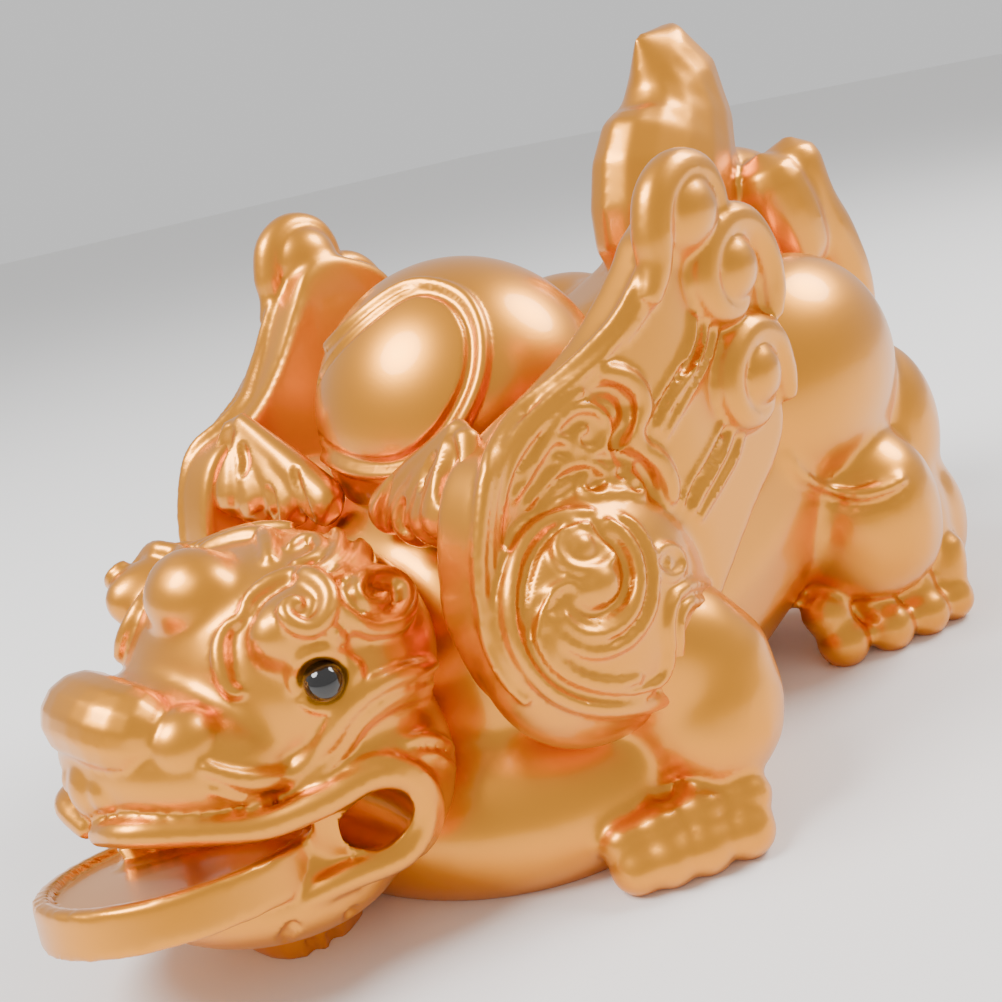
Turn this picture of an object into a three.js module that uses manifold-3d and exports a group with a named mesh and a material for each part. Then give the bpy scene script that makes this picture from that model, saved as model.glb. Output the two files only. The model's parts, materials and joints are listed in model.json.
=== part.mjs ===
import * as THREE from 'three';
import { mergeVertices } from 'three/addons/utils/BufferGeometryUtils.js';
import Module from 'manifold-3d';

// A cast resin tea pet: a winged beast that lies on its belly, holds a coin in its mouth
// and carries a ball on its back. Sizes are in millimetres.
// The beast faces -Y, its left side is +X, and z = 0 is the flat underside it rests on.

const wasm = await Module();
wasm.setup();

// Driving dimensions

const TORSO = {
  spine: [[0, -34, 21], [0, -20, 20], [0, 5, 19], [0, 26, 25], [0, 43, 32], [0, 70, 31]],
  radii: [15, 27, 28, 28.5, 29, 15],
};

const BELLY = { centre: [0, -10, 7], radii: [33, 29, 16] };

const BALL = {
  centre: [0, -0.4, 48.6],
  radius: 19,
  medallion: { towards: [0.22, -0.85, 0.48], radius: 12.4, thickness: 1 },
};

const HEAD = {
  skull: { centre: [0, -36, 31], radii: [20, 16, 14] },
  cheek: { centre: [0, -37, 18.5], radii: [21.5, 14.5, 15.5] },
  muzzle: { centre: [0, -50, 27], radii: [14.5, 12.5, 8] },
  boss: { centre: [0, -44, 39], radii: [8.4, 8.4, 8] },
  jaw: { centre: [0, -45, 10.5], radii: [17.5, 16, 8] },
  browBase: { centre: [15.4, -39, 38.5], radii: [5, 9, 5.5] },
};

const NOSE = {
  bridge: { centre: [0, -57, 33.2], radii: [9.4, 5.4, 4.2] },
  wing: { centre: [8.8, -54.4, 31], radii: [3.9, 4.2, 3.7] },
  lump: { centre: [0, -60.2, 27], radii: [3.6, 3.2, 3.6] },
};

const MOUTH = {
  slot: { centre: [0, -57, 19], radii: [18, 19, 4.4] },
  corner: { centre: [16, -41.4, 17.6], radii: [9, 3.8, 3.6] },
  jawHole: { centre: [21, -36.6, 8.2], radii: [3, 2.4, 2.4] },
};

const COIN = {
  centre: [0.4, -54.2, 12.6],
  radius: 15.8,
  thickness: 5,
  rim: 1.8,
  sunk: 0.9,
  tiltForwards: -9,
  tiltSideways: -12,
  sides: 18,
};

const EYE = { centre: [17.8, -42.8, 33.6], radius: 2.1, gap: 0.3, lidCentre: [16.6, -42, 33.4], lid: 3.3 };

const EAR = { base: [18, -27, 41], tip: [21.6, -20.4, 54.6], facing: [0.5, -0.8, 0.3], width: 7, depth: 5 };

const SHOULDER = { centre: [27.4, -17.6, 31], radii: [10, 13.6, 14.2] };

// The wings hug the neck at the front and flare outwards to the rear
const WING = { innermost: 27.6, flare: 6.6, flareFrom: -22, flareLength: 24, thickness: 6.4, ridgeSunk: 1, tip: 4.4 };

const THIGH = { centre: [20, 43, 41], radii: [13.5, 21, 18] };

const SHIN = { bones: [[25, 40, 30], [27.6, 44.6, 20], [28, 43.6, 8]], radii: [12.6, 11.2, 10] };
const HOCK = { centre: [26, 55.4, 13], radii: [8.8, 8.8, 13] };

const FLAME = {
  spine: [[0, 46, 50], [0, 47, 60], [0, 49.4, 70], [0, 53, 77], [0, 52.4, 84.5], [0, 47, 89.6]],
  radii: [13, 14.5, 15, 13, 9.4, 3],
  lift: 0.56,
};

const UNDERSIDE = { reach: 400, depth: 100 };

// How finely a round form is faceted
const BROAD = { sides: 12, rings: 6 };
const MEDIUM = { sides: 8, rings: 5 };
const SMALL = { sides: 5, rings: 3 };

// Solids from three.js geometry

function toSolid(geometry) {
  const bare = geometry.clone();
  bare.deleteAttribute('normal');
  bare.deleteAttribute('uv');
  const merged = mergeVertices(bare, 1e-4);
  const place = merged.getAttribute('position').array;
  const index = Array.from(merged.getIndex().array);
  const corners = [];
  let volume = 0;
  for (let i = 0; i < index.length; i += 3) {
    const [a, b, c] = index.slice(i, i + 3);
    if (a === b || b === c || c === a) continue;
    corners.push([a, b, c]);
    const [p, q, r] = [a, b, c].map((k) => new THREE.Vector3().fromArray(place, k * 3));
    volume += p.dot(q.cross(r));
  }
  const outward = volume > 0 ? corners : corners.map(([a, b, c]) => [a, c, b]);
  const mesh = new wasm.Mesh({
    numProp: 3,
    vertProperties: Float32Array.from(place),
    triVerts: Uint32Array.from(outward.flat()),
  });
  return new wasm.Manifold(mesh);
}

function join(solids) {
  return solids.flat(Infinity).reduce((sum, solid) => sum.add(solid));
}

function bothSides(make) {
  return [make(1), make(-1)];
}

function flip(side, [x, y, z]) {
  return [side * x, y, z];
}

const radians = THREE.MathUtils.degToRad;

// How much a faceted form is swollen so that its facets lie as far outside the true round
// form as inside it
function spread(sides, rings = Infinity) {
  return 1 / Math.sqrt(Math.cos(Math.PI / sides) * Math.cos(Math.PI / (2 * rings)));
}

// A ball stretched to three radii, then turned about X, Y and Z in degrees
function blob(centre, radii, { sides, rings, turn = [0, 0, 0] } = MEDIUM) {
  const geometry = new THREE.SphereGeometry(spread(sides, rings), sides, rings);
  geometry.rotateX(Math.PI / 2);
  geometry.scale(...radii);
  geometry.rotateX(radians(turn[0]));
  geometry.rotateY(radians(turn[1]));
  geometry.rotateZ(radians(turn[2]));
  geometry.translate(...centre);
  return toSolid(geometry);
}

// A value read along a short list, evenly spaced from 0 to 1
function along(list, t) {
  const place = Math.min(Math.max(t, 0), 1) * (list.length - 1);
  const first = Math.min(Math.floor(place), list.length - 2);
  const blend = place - first;
  return list[first] * (1 - blend) + list[first + 1] * blend;
}

// A round bar bent along a curve. Its radius changes along the way, its ends are domed,
// and `lift` sets how high it stands towards `facing` beside how wide it is.
function rope(points, radii, { facing = [0, 0, 1], lift = 1, sides = 3, rings = 6 } = {}) {
  const curve = new THREE.CatmullRomCurve3(points.map((p) => new THREE.Vector3(...p)), false, 'centripetal');
  const length = curve.getLength();
  const cap = (end, t) => {
    const inwards = Math.min(1, (Math.abs(t - end) * length) / Math.max(along(radii, end), 0.01));
    return Math.sqrt(1 - (1 - inwards) ** 2);
  };
  const swollen = sides > 4 ? spread(sides) : 1;
  const profile = [];
  for (let ring = 0; ring <= rings; ring += 1) {
    const t = (1 - Math.cos((Math.PI * ring) / rings)) * 0.25 + ring / rings / 2;
    const onAxis = ring === 0 || ring === rings;
    profile.push(new THREE.Vector2(onAxis ? 0 : swollen * along(radii, t) * cap(0, t) * cap(1, t), t));
  }
  const geometry = new THREE.LatheGeometry(profile, sides);
  const place = geometry.getAttribute('position');
  const up = new THREE.Vector3(...facing).normalize();
  for (let i = 0; i < place.count; i += 1) {
    const t = place.getY(i);
    const tangent = curve.getTangentAt(t);
    const across = new THREE.Vector3().crossVectors(tangent, up).normalize();
    const out = new THREE.Vector3().crossVectors(across, tangent).normalize();
    const point = curve.getPointAt(t);
    point.addScaledVector(across, place.getX(i)).addScaledVector(out, place.getZ(i) * lift);
    place.setXYZ(i, point.x, point.y, point.z);
  }
  return toSolid(geometry);
}

// A flat outline in the Y-Z plane, given thickness along X and bent so that its outer face
// follows faceX(y) on the given side
function sidePlate(outline, faceX, side, thickness) {
  const shape = new THREE.Shape();
  const ends = outline.map(([y, z]) => new THREE.Vector2(y, z));
  shape.moveTo(ends[0].x, ends[0].y);
  shape.splineThru(ends.slice(1));
  const options = { depth: thickness, bevelEnabled: false, curveSegments: 1 };
  const geometry = new THREE.ExtrudeGeometry(shape, options);
  geometry.rotateX(Math.PI / 2);
  geometry.rotateZ(Math.PI / 2);
  geometry.translate(-thickness, 0, 0);
  const place = geometry.getAttribute('position');
  for (let i = 0; i < place.count; i += 1) {
    place.setX(i, side * (place.getX(i) + faceX(place.getY(i))));
  }
  return toSolid(geometry);
}

// How far out along X an ellipsoid's skin lies at a given y and z
function skinX({ centre, radii }, y, z) {
  const left = 1 - ((y - centre[1]) / radii[1]) ** 2 - ((z - centre[2]) / radii[2]) ** 2;
  return centre[0] + radii[0] * Math.sqrt(Math.max(left, 0));
}

// Points of a flat spiral in Y-Z: it starts at `radius` and turns in towards its middle
function spiral([y, z], radius, turns, start, inner = 0.15, steps = 10) {
  const points = [];
  for (let step = 0; step <= steps; step += 1) {
    const share = step / steps;
    const angle = radians(start) + turns * 2 * Math.PI * share;
    const reach = radius * (1 - (1 - inner) * share);
    points.push([y + reach * Math.cos(angle), z + reach * Math.sin(angle)]);
  }
  return points;
}

// Points on a ball or dome skin around `towards`, for a ring that lies on it
function ringOn(centre, radius, towards, ringRadius, steps = 24) {
  const axis = new THREE.Vector3(...towards).normalize();
  const across = new THREE.Vector3(0, 0, 1).cross(axis).normalize();
  const up = new THREE.Vector3().crossVectors(axis, across);
  const rise = Math.sqrt(radius ** 2 - ringRadius ** 2);
  const points = [];
  for (let step = 0; step < steps; step += 1) {
    const angle = (2 * Math.PI * step) / steps;
    points.push(new THREE.Vector3(...centre)
      .addScaledVector(axis, rise)
      .addScaledVector(across, ringRadius * Math.cos(angle))
      .addScaledVector(up, ringRadius * Math.sin(angle)));
  }
  return points;
}

// A closed round hoop through a ring of points
function hoop(points, thickness, steps = 13) {
  const outline = new THREE.Shape();
  outline.absarc(0, 0, thickness, 0, 2 * Math.PI);
  const geometry = new THREE.ExtrudeGeometry(outline, {
    steps,
    curveSegments: 2,
    extrudePath: new THREE.CatmullRomCurve3(points, true),
  });
  return toSolid(geometry);
}

// A curl of hair, feather or cloud: a bar that turns in on itself and swells at its inner end
function curl({ centre, facing, radius, turns, start, thickness, rise = 0.8 }, side) {
  const out = new THREE.Vector3(...facing).normalize();
  const back = new THREE.Vector3(0, 1, 0).addScaledVector(out, -out.y).normalize();
  const up = new THREE.Vector3().crossVectors(out, back);
  if (up.z < 0) up.negate();
  const points = spiral([0, 0], radius, turns, start, 0.3).map(([y, z], i, all) => {
    const point = new THREE.Vector3(...centre).addScaledVector(back, y).addScaledVector(up, z);
    return flip(side, point.addScaledVector(out, (rise * i) / all.length).toArray());
  });
  const swell = [0.75, 1, 1, 1.25].map((share) => thickness * share);
  return rope(points, swell, { facing: flip(side, facing), rings: 5 });
}

// Body

function torso() {
  const { spine, radii } = TORSO;
  return rope(spine, radii, { facing: [0, 0, 1], lift: 0.96, sides: 12, rings: 6 });
}

function ball() {
  const { centre, radius, medallion } = BALL;
  const ring = ringOn(centre, radius, medallion.towards, medallion.radius, 16);
  return [blob(centre, [radius, radius, radius], BROAD), hoop(ring, medallion.thickness)];
}

function thigh(side) {
  const rimPoints = [[29, 22, 35.5], [31, 28, 30.2], [31.5, 37, 26.6], [31, 47, 25], [28, 56, 26.5]];
  return [
    blob(flip(side, THIGH.centre), THIGH.radii, BROAD),
    rope(rimPoints.map((p) => flip(side, p)), [0.8, 1.5, 1.8, 1.5, 0.8], { facing: [side, 0, 0], rings: 5 }),
    rope(SHIN.bones.map((p) => flip(side, p)), SHIN.radii, { sides: 7, rings: 3 }),
    blob(flip(side, HOCK.centre), HOCK.radii, SMALL),
    blob(flip(side, [25, 65, 33]), [5, 6, 6.5], SMALL),
  ];
}

const THIGH_LOCKS = [
  [[46, 52], [38, 53], [33, 49], [37, 45], [44, 46]],
  [[28, 43], [35, 38], [43, 37], [51, 38.6]],
  [[52, 50], [54, 43], [56, 36], [52, 33], [49, 38]],
];

function thighLocks(side) {
  return THIGH_LOCKS.map((line) => {
    const points = line.map(([y, z]) => flip(side, [skinX(THIGH, y, z), y, z]));
    return rope(points, [0.8, 1.6, 1.8, 1.5, 0.8], { facing: [side, 0, 0], rings: 4 });
  });
}

// Feet: toes side by side on a slanted line, each with a knuckle and a round tip

const TOES = 4;
const FRONT_FOOT = { first: [30.6, -19.5], last: [40.6, -7.5], heading: [0.72, -0.69], size: 4.4, height: 10.8 };
const HIND_FOOT = { first: [26.5, 33], last: [33, 57], heading: [0.94, -0.34], size: 4.7, height: 11.4 };

function foot({ first, last, heading, size, height }, side) {
  const solids = [];
  for (let toe = 0; toe < TOES; toe += 1) {
    const share = toe / (TOES - 1);
    const reach = size * (1 - 0.6 * (share - 0.5) ** 2);
    const x = first[0] + (last[0] - first[0]) * share;
    const y = first[1] + (last[1] - first[1]) * share;
    const at = (forwards, z) => flip(side, [x + heading[0] * forwards, y + heading[1] * forwards, z]);
    const bones = [at(-6, height - 2), at(-1, height - 3.4), at(1.8, 5.4), at(2.4, 0)];
    solids.push(rope(bones, [reach, reach * 1.04, reach * 0.9, reach],
      { facing: flip(side, [heading[0], heading[1], 1]), rings: 4, sides: 6 }));
  }
  return solids;
}

const FORELEG = {
  bones: [[24, -16, 27], [31, -4, 20], [33, -5.5, 12], [32.6, -8, 5]],
  radii: [10.4, 9.2, 9.2, 8],
};
const ELBOW_CURL = {
  centre: [37, 0.4, 26.2], facing: [1, 0.15, 0.1], radius: 2.6, turns: -0.9, start: 200, thickness: 1.5,
};

function foreleg(side) {
  return [
    rope(FORELEG.bones.map((p) => flip(side, p)), FORELEG.radii, { sides: 6, rings: 4 }),
    curl(ELBOW_CURL, side),
    foot(FRONT_FOOT, side),
  ];
}

// The comb of short hair behind the elbow
const ELBOW_COMB = { top: [36.6, -6, 18.2], bottom: [38.4, -3, 9.4], count: 2, length: 7, thickness: 2 };

function elbowComb(side) {
  const { top, bottom, count, length, thickness } = ELBOW_COMB;
  const hairs = [];
  for (let hair = 0; hair < count; hair += 1) {
    const share = hair / (count - 1);
    const [x, y, z] = top.map((value, i) => value + (bottom[i] - value) * share);
    const front = [x - 1, y - length / 2, z - 1.6];
    const back = [x - 0.4, y + length / 2, z + 1.4];
    const points = [front, [x, y, z - 0.6], back].map((p) => flip(side, p));
    hairs.push(rope(points, [0.5, thickness, 0.5], { facing: [side, 0, 0], rings: 4 }));
  }
  return hairs;
}

// Shoulder disc with its whirl of ridges

const SHOULDER_WHIRLS = [
  { line: [[-16, 42.6], [-24, 42.4], [-28.4, 33], [-26, 25.5], [-20, 20.6], [-13, 20.4]], radius: 1.6 },
  { line: [[-21, 39], [-17, 41.5], [-11.6, 34], [-15.5, 27], [-21, 27.4], [-24, 34]], radius: 1.3 },
];

function shoulder(side) {
  const whirls = SHOULDER_WHIRLS.map(({ line, radius }) => {
    const points = line.map(([y, z]) => flip(side, [skinX(SHOULDER, y, z), y, z]));
    return rope(points, [radius * 0.6, radius, radius, radius * 0.6], { facing: [side, 0, 0], rings: 6 });
  });
  const comma = [skinX(SHOULDER, -18, 35) - 0.4, -18, 35];
  return [
    blob(flip(side, SHOULDER.centre), SHOULDER.radii, MEDIUM),
    blob(flip(side, comma), [1.6, 3, 5], { ...SMALL, turn: [-10, 0, 0] }),
    whirls,
  ];
}

// Wings: three long feathers that end in curls, with a cloud-edged covert below them

const WING_OUTLINE = [
  [-8.6, 17], [-24.3, 22.2], [-29.8, 33], [-29, 44.6], [-21, 52.2], [-8.4, 57.6], [-4.4, 61.8],
  [-1, 70], [6, 73], [16.6, 66], [19.8, 58], [20, 43], [17.6, 38.6], [9.5, 32.4],
];

const WING_CURLS = [
  { centre: [32.4, 4.4, 70.2], radius: 3.8, thickness: 1.7 },
  { centre: [33.2, 10, 61.8], radius: 3.6, thickness: 1.7 },
  { centre: [33.8, 12, 49], radius: 3.6, thickness: 1.7 },
].map((one) => ({ facing: [1, -0.1, 0.05], turns: 1.1, start: -40, ...one }));

const WING_RIDGES = [
  { line: [[-23.6, 22.8], [-29.6, 31], [-30, 40], [-27.4, 47.4], [-21, 51.6], [-12.4, 55], [-3, 66]], radius: 2.1 },
  { line: [[4.6, 57.4], [2, 53.8], [-3.8, 49]], radius: 2 },
  { line: [[7, 44.8], [3.4, 42], [-1.6, 36.6]], radius: 2 },
  { line: [[12, 67.6], [17, 64.6], [18.6, 58], [18.4, 50], [19, 44], [13, 36.4]], radius: 2 },
];

const COVERT = [
  [-26, 24], [-28.4, 36], [-25, 47.4], [-16, 52.6], [-8, 56], [-4.8, 53.4], [-4.6, 48.6], [-1.8, 44], [-1.4, 36],
];

function wingFace(y) {
  const share = THREE.MathUtils.smoothstep(y, WING.flareFrom, WING.flareFrom + WING.flareLength);
  return WING.innermost + WING.flare * share;
}

function wing(side) {
  const onFace = ([y, z]) => flip(side, [wingFace(y) - WING.ridgeSunk, y, z]);
  const ridges = WING_RIDGES.map(({ line, radius }) => (
    rope(line.map((p) => onFace(p)), [radius * 0.6, radius, radius, radius * 0.6],
      { facing: [side, 0, 0], rings: 5 })));
  return [
    sidePlate(WING_OUTLINE, wingFace, side, WING.thickness),
    sidePlate(COVERT, (y) => wingFace(y) + 1, side, WING.thickness),
    WING_CURLS.map((one) => [
      blob(flip(side, one.centre), [WING.tip, one.radius * 1.3, one.radius * 1.3], MEDIUM),
      curl({ ...one, centre: [one.centre[0] + WING.tip * 0.7, one.centre[1], one.centre[2]] }, side),
    ]),
    ridges,
  ];
}

// Tail: a flame that stands on the rump, with a long lock down each side of its back

const FLAME_FLUTES = [
  [[3.8, 50, 86], [6.4, 55, 79], [7.6, 55.6, 70], [7.4, 53, 61]],
  [[2, 58.4, 82], [3, 62, 75], [3.4, 62.4, 66], [4, 60, 58]],
];

const SIDE_LOCK = {
  points: [[10.4, 68.4, 73.6], [10.4, 66.6, 67], [10.4, 68, 60.4], [10.4, 73.4, 52], [10.6, 76, 43], [11, 72, 34]],
  radii: [2.2, 4.4, 5.6, 5.7, 4.4, 4],
};

function tail() {
  const flutes = (side) => FLAME_FLUTES.map((line) => {
    const points = line.map(([x, y, z]) => flip(side, [x, y, z]));
    return rope(points, [0.8, 1.6, 1.6, 0.8], { facing: [side, 0, 0], rings: 4 });
  });
  const lock = (side) => [
    rope(SIDE_LOCK.points.map((p) => flip(side, p)), SIDE_LOCK.radii, { facing: [side, 0, 0], sides: 6, rings: 6 }),
    curl({ centre: [9, 58, 63.5], facing: [1, 0, 0.1], radius: 3.4, turns: -1, start: 120, thickness: 1.5 }, side),
    curl({ centre: [10.4, 65.4, 62.4], facing: [1, 0, 0.1], radius: 2.8, turns: 1, start: 60, thickness: 1.3 }, side),
  ];
  return [
    rope(FLAME.spine, FLAME.radii, { facing: [1, 0, 0], lift: FLAME.lift, sides: 10, rings: 8 }),
    rope([[0, 36, 52], [0, 49, 54], [0, 60, 56]], [11, 12, 11], { sides: 7, rings: 4 }),
    rope([[0, 58, 71], [0, 64, 60], [0, 66, 44]], [7, 11, 12], { sides: 7, rings: 4 }),
    bothSides(flutes),
    bothSides(lock),
  ];
}

// Head

const BROW_CURLS = [
  { centre: [15.4, -48, 39.4], facing: [0.8, -0.55, 0.25], radius: 3.1, turns: -1.15, start: 235, thickness: 1.15 },
  { centre: [15.6, -42.6, 41.4], facing: [0.85, -0.3, 0.4], radius: 3.4, turns: -1.15, start: 200, thickness: 1.2 },
  { centre: [14, -38.6, 44.8], facing: [0.7, -0.3, 0.65], radius: 4.2, turns: -1, start: 190, thickness: 1.4 },
  { centre: [17.4, -32.6, 39], facing: [0.9, -0.2, 0.35], radius: 3.4, turns: 1.15, start: 160, thickness: 1.3 },
];

const FACE_RIDGES = [
  {
    line: [[12.5, -54.6, 28], [14, -52, 25.6], [16.6, -47.6, 25.4], [18.6, -43, 27.8], [20, -38, 30], [21, -32, 29.8],
      [21.4, -28, 33]],
    radii: [1, 1.7, 1.8, 1.6, 1],
  },
  {
    line: [[0, -62.2, 22.6], [6, -61.6, 24], [10, -57.6, 23], [14, -52, 21.4], [17.4, -46.4, 21.8], [19.4, -41, 22.4],
      [20.6, -37.2, 20], [20.6, -36.8, 15.6], [19.6, -39.6, 12.6], [17.4, -45.6, 12.6], [13.4, -52, 11.6], [7, -57.6, 10.8],
      [0, -59.6, 10.6]],
    radii: [1.5, 1.9, 1.9, 2, 1.8, 1.9, 1.8, 1.7, 1.6],
    rings: 11,
  },
  {
    line: [[18.6, -43.6, 25.2], [20.2, -38.6, 25.2], [21, -34.8, 22.4], [21.2, -33.4, 18], [20.8, -34.6, 13.4]],
    radii: [0.8, 1.4, 1.5, 1.4, 0.8],
  },
];

const BEARD = { centre: [0, -42, 3], radii: [15.5, 8.6, 6], locks: 3 };

function head() {
  const { skull, cheek, muzzle, boss, jaw, browBase } = HEAD;
  return join([
    blob(skull.centre, skull.radii, MEDIUM),
    blob(cheek.centre, cheek.radii, BROAD),
    blob(muzzle.centre, muzzle.radii, { ...MEDIUM, turn: [-12, 0, 0] }),
    blob(boss.centre, boss.radii, MEDIUM),
    blob(jaw.centre, jaw.radii, { ...MEDIUM, turn: [-8, 0, 0] }),
    bothSides((side) => blob(flip(side, browBase.centre), browBase.radii, { ...MEDIUM, turn: [-10, 0, 0] })),
  ]);
}

function nose() {
  return [
    blob(NOSE.bridge.centre, NOSE.bridge.radii, MEDIUM),
    blob(NOSE.lump.centre, NOSE.lump.radii, SMALL),
    bothSides((side) => [
      blob(flip(side, NOSE.wing.centre), NOSE.wing.radii, SMALL),
    ]),
  ];
}

function eyelid(side) {
  return blob(flip(side, EYE.lidCentre), Array(3).fill(EYE.lid), MEDIUM);
}

function ear(side) {
  const { base, tip, facing, width, depth } = EAR;
  const middle = base.map((value, i) => (value + tip[i]) / 2);
  const leaf = rope([base, middle, tip].map((p) => flip(side, p)), [width * 0.8, width, width * 0.7, 0.6],
    { facing: flip(side, facing), lift: depth / width, sides: 7, rings: 4 });
  const ahead = (point, reach) => point.map((value, i) => value + facing[i] * reach);
  const hollow = rope([ahead(middle, depth), ahead(tip, depth * 0.6)].map((p) => flip(side, p)),
    [width * 0.55, width * 0.45, 0.5], { facing: flip(side, facing), lift: 0.6, sides: 5, rings: 3 });
  return leaf.subtract(hollow);
}

function beard() {
  const locks = (side) => {
    const curls = [];
    for (let lock = 0; lock < BEARD.locks; lock += 1) {
      const lean = lock * 3.4;
      const points = [[6 + lean * 0.6, -44 + lock, 5.6], [8 + lean * 0.8, -47.6 + lean * 0.7, 3.4], [9 + lean, -47 + lean, 1.4]];
      curls.push(rope(points.map((p) => flip(side, p)), [1, 2.2, 1.2], { rings: 3, sides: 4 }));
    }
    return curls;
  };
  return [blob(BEARD.centre, BEARD.radii, MEDIUM), bothSides(locks)];
}

function coin() {
  const { centre, radius, thickness, rim, sunk, tiltForwards, tiltSideways, sides } = COIN;
  const half = thickness / 2;
  const profile = [
    [0, -half], [radius, -half], [radius, half], [radius - rim, half], [radius - rim - 0.3, half - sunk],
    [0, half - sunk],
  ].map(([r, z]) => new THREE.Vector2(r, z));
  const geometry = new THREE.LatheGeometry(profile, sides);
  geometry.rotateX(Math.PI / 2);
  geometry.rotateX(radians(tiltForwards));
  geometry.rotateY(radians(tiltSideways));
  geometry.translate(...centre);
  return toSolid(geometry);
}

function mouthCuts() {
  const { slot, corner, jawHole } = MOUTH;
  return join([
    blob(slot.centre, slot.radii, MEDIUM),
    bothSides((side) => [
      blob(flip(side, corner.centre), corner.radii, SMALL),
      blob(flip(side, jawHole.centre), jawHole.radii, SMALL),
    ]),
  ]);
}

function eyeSocket(side) {
  const size = EYE.radius + EYE.gap;
  return blob(flip(side, EYE.centre), [size, size, size], MEDIUM);
}

// Everything below the underside is cut away flat
function belowGround() {
  const box = new THREE.BoxGeometry(UNDERSIDE.reach, UNDERSIDE.reach, UNDERSIDE.depth);
  box.translate(0, 0, -UNDERSIDE.depth / 2);
  return toSolid(box);
}

function casting() {
  const face = join([head(), nose(), FACE_RIDGES.flatMap(({ line, radii, rings = 6 }) => bothSides((side) => (
    rope(line.map((p) => flip(side, p)), radii, { facing: flip(side, [1, -0.3, 0]), rings })))),
  ]).subtract(mouthCuts());
  return join([
    face,
    bothSides(eyelid),
    BROW_CURLS.map((one) => bothSides((side) => curl(one, side))),
    coin(),
    beard(),
    bothSides(ear),
    torso(),
    blob(BELLY.centre, BELLY.radii, MEDIUM),
    ball(),
    bothSides((side) => [foreleg(side), elbowComb(side), shoulder(side), wing(side)]),
    bothSides((side) => [thigh(side), thighLocks(side), foot(HIND_FOOT, side)]),
    tail(),
  ]).subtract(join(bothSides(eyeSocket))).subtract(belowGround());
}

// Materials

const goldFlakePaint = () => new THREE.MeshStandardMaterial({ color: 0xd18a16, roughness: 0.3, metalness: 0.75 });
const blackGloss = () => new THREE.MeshStandardMaterial({ color: 0x0a0908, roughness: 0.08, metalness: 0 });

// The part's origin lies below the middle of its length and width
const resin = casting();
const box = resin.boundingBox();
const middle = new THREE.Vector3(...box.min).lerp(new THREE.Vector3(...box.max), 0.5);

function toMesh(name, solid, material) {
  const { vertProperties, triVerts } = solid.getMesh();
  const geometry = new THREE.BufferGeometry();
  geometry.setAttribute('position', new THREE.BufferAttribute(new Float32Array(vertProperties), 3));
  geometry.setIndex(new THREE.BufferAttribute(new Uint32Array(triVerts), 1));
  geometry.translate(-middle.x, -middle.y, 0);
  geometry.computeVertexNormals();
  const mesh = new THREE.Mesh(geometry, material);
  mesh.name = name;
  return mesh;
}

function eyeBead(side) {
  const { centre, radius } = EYE;
  return blob(flip(side, centre), [radius, radius, radius], MEDIUM);
}

const teaPet = new THREE.Group();
teaPet.name = 'resin_tea_pet';
teaPet.add(toMesh('resin_casting', resin, goldFlakePaint()));
teaPet.add(toMesh('eye_bead_left', eyeBead(1), blackGloss()));
teaPet.add(toMesh('eye_bead_right', eyeBead(-1), blackGloss()));

export default teaPet;
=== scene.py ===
# %% [markdown]
# # A gold resin tea pet
# Tea pets are small figures that stand on a tea tray. This one is a winged beast cast in resin,
# sprayed with gold flake paint and lacquered. It lies on its belly with a coin in its mouth and
# a ball on its back. The CAD model gives its size and its main forms; this script gives it a
# melted skin and carves the head and the wings. Paws, haunches, tail and ball stay plainer than
# on the real casting.

# %% Load the frame
import json
import math

import bmesh
import bpy
import numpy as np
from mathutils import Euler, Matrix, Vector
from mathutils.bvhtree import BVHTree

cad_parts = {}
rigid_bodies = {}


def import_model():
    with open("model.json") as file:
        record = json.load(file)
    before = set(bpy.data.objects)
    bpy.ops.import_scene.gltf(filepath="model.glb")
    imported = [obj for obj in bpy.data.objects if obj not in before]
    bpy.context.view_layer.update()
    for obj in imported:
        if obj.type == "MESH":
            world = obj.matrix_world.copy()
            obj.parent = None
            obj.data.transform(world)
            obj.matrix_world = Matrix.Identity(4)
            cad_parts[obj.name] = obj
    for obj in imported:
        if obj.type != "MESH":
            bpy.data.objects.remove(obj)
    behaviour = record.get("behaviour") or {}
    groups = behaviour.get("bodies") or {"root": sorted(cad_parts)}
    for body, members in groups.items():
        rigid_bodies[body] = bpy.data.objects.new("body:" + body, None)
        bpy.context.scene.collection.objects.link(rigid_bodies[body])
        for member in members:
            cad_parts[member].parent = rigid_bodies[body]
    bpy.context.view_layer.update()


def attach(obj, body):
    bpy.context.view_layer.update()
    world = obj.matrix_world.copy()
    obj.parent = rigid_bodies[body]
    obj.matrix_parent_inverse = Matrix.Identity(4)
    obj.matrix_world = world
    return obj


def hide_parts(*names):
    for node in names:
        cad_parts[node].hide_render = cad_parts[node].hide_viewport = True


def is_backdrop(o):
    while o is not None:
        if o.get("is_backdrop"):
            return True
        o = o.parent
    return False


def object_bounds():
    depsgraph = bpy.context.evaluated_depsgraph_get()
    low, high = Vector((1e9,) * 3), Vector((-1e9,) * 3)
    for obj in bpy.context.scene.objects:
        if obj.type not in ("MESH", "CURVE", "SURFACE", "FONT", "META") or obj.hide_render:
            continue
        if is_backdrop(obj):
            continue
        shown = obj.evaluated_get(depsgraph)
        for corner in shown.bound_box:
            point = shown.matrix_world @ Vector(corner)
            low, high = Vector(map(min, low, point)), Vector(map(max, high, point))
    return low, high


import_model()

# %% [markdown]
# ## Working in millimetres
# All sizes below are in millimetres, measured from a point on the ground under the beast's
# middle. The frame's own origin lies a little further back, so a finished piece is moved by
# `MIDDLE` and scaled to metres in one step.

# %% Units and detail
MIDDLE = 5.082
TO_METRES = Matrix.Scale(0.001, 4) @ Matrix.Translation((0, -MIDDLE, 0))
COARSER = 1.0
print("voxels are", COARSER, "times their final size")

# %% [markdown]
# ## The camera
# The photograph was taken from close by, from the beast's front left and a little above, with the
# camera rolled. The same camera also helps the carving: a stroke is drawn where it is seen,
# and a ray from the camera finds the skin under it.

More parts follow.
